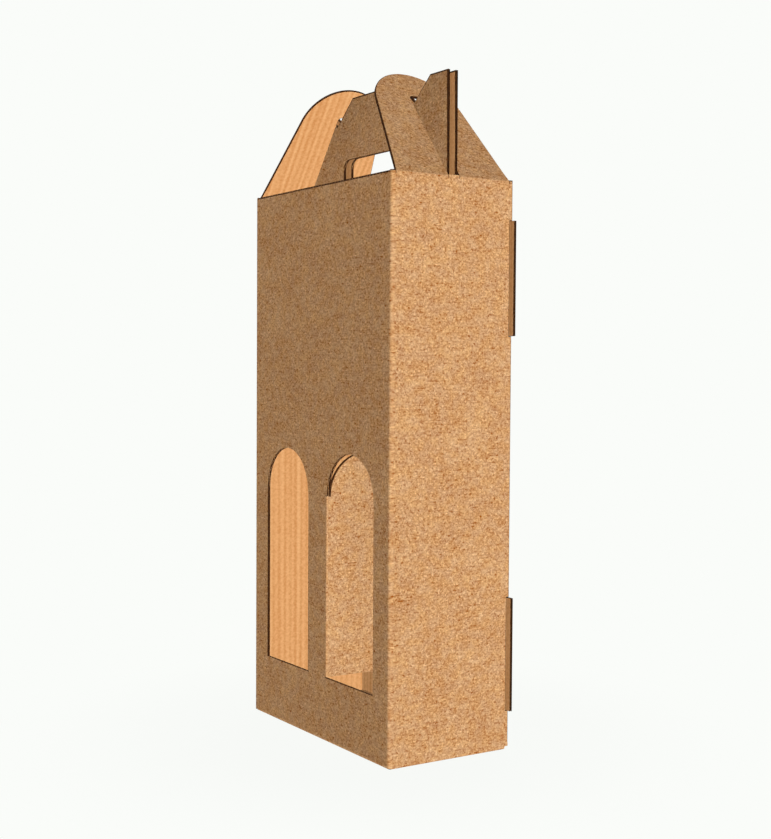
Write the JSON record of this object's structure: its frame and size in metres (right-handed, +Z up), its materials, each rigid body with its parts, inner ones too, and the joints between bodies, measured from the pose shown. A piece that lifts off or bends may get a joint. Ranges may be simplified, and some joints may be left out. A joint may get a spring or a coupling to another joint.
{
  "type": "wine bottle box",
  "caption": "Tall corrugated carrier box for wine bottles, with arched windows, fold-in window flaps, a double handle with a hand hole and slotted lock flaps.",
  "frame": {"origin": "middle of the base on the floor", "axes": "+X to the right of the front wall with the windows, +Y from the front wall to the back wall, +Z up"},
  "size_m": [0.169, 0.085, 0.4066],
  "materials": {
    "kraft_board": "matte"
  },
  "bodies": {
    "carton": {"carton": "kraft_board"},
    "left_lock_flap": {"left_lock_flap": "kraft_board"},
    "right_lock_flap": {"right_lock_flap": "kraft_board"},
    "left_window_flap": {"left_window_flap": "kraft_board"},
    "right_window_flap": {"right_window_flap": "kraft_board"}
  },
  "joints": [
    {"name": "left_lock_swing", "type": "hinge", "parent": "carton", "child": "left_lock_flap", "pos_m": [-0.0816, 0, 0.3391], "axis": [0, -1, 0], "range_deg": [0, 125]},
    {"name": "right_lock_swing", "type": "hinge", "parent": "carton", "child": "right_lock_flap", "pos_m": [0.0816, 0, 0.3391], "axis": [0, 1, 0], "range_deg": [0, 125]},
    {"name": "left_window_swing", "type": "hinge", "parent": "carton", "child": "left_window_flap", "pos_m": [-0.0108, -0.0416, 0.0953], "axis": [0, 0, -1], "range_deg": [-90, 8]},
    {"name": "right_window_swing", "type": "hinge", "parent": "carton", "child": "right_window_flap", "pos_m": [0.0108, -0.0416, 0.0953], "axis": [0, 0, 1], "range_deg": [-90, 8]}
  ]
}
